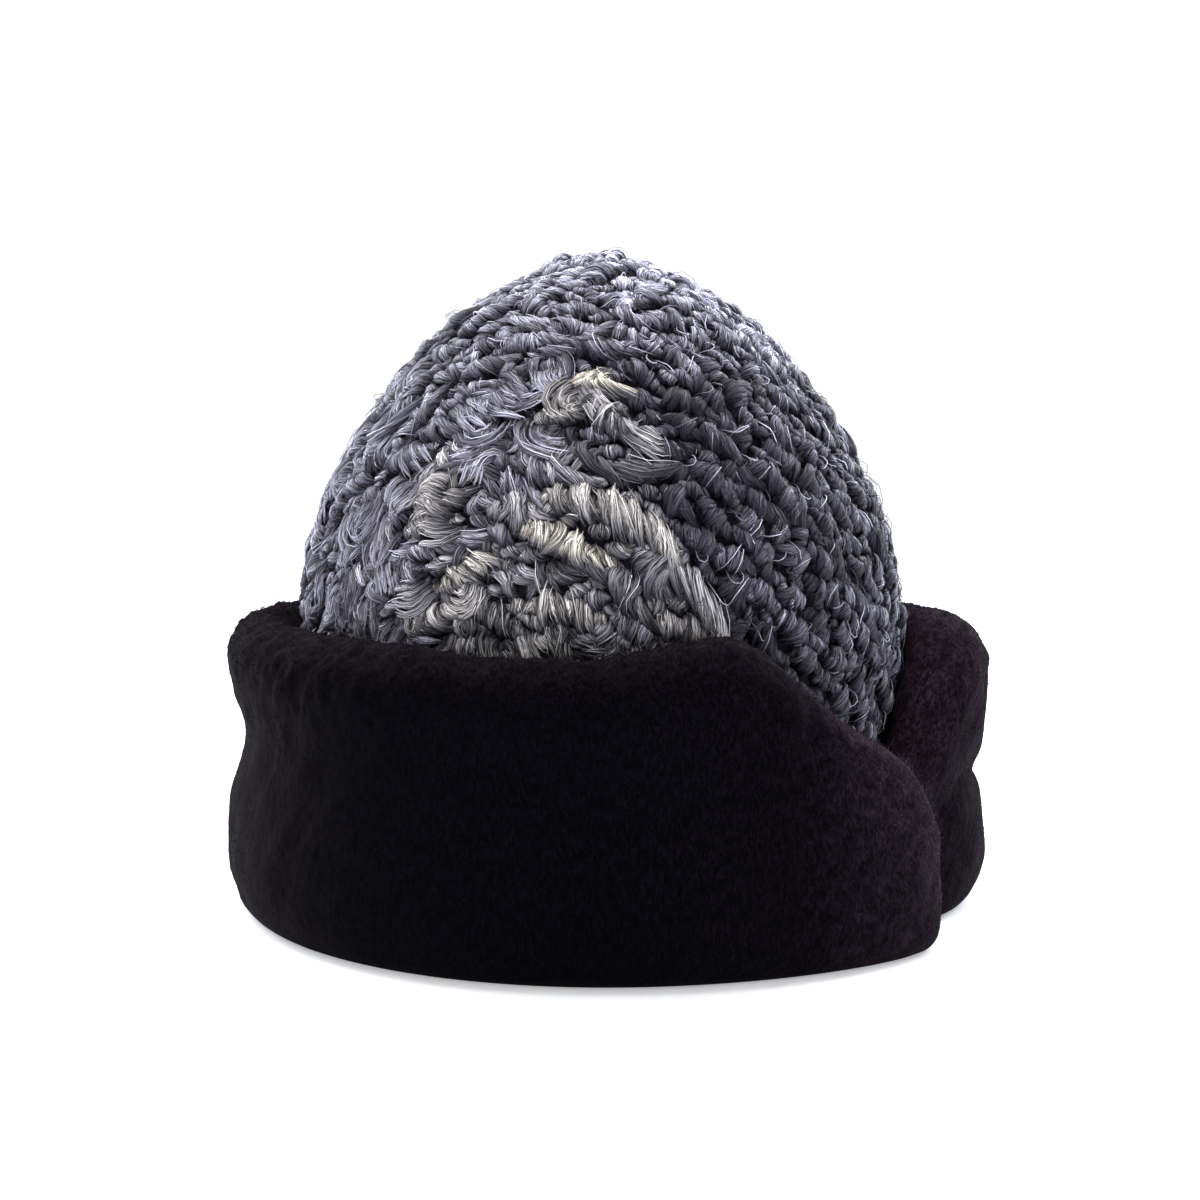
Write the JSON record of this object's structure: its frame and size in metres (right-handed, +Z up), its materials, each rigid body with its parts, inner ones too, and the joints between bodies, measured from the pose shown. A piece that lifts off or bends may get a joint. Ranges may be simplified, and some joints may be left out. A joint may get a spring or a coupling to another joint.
{
  "type": "fur cuffed lambskin hat",
  "caption": "Tall domed winter hat of curled lambskin with a wide turned-up cuff of sheared fur, its ends lapped at the front right.",
  "frame": {"origin": "middle of the cuff's foot, on the surface that the hat stands on", "axes": "+Z up through the top of the crown, -Y the front, +X the side where the cuff's ends lap"},
  "size_m": [0.2648, 0.2648, 0.2235],
  "materials": {
    "pale_lambskin": "long wavy locks, grey with cream tips, softly shining",
    "dark_lambskin": "short tight curls, dark grey with silver hairs, softly shining",
    "sheared_fur": "dense sheared fur, very dark brown, matt with a faint sheen"
  },
  "bodies": {
    "root": {"crown_pale_half": "pale_lambskin", "crown_dark_half": "dark_lambskin", "cuff": "sheared_fur"}
  },
  "joints": []
}
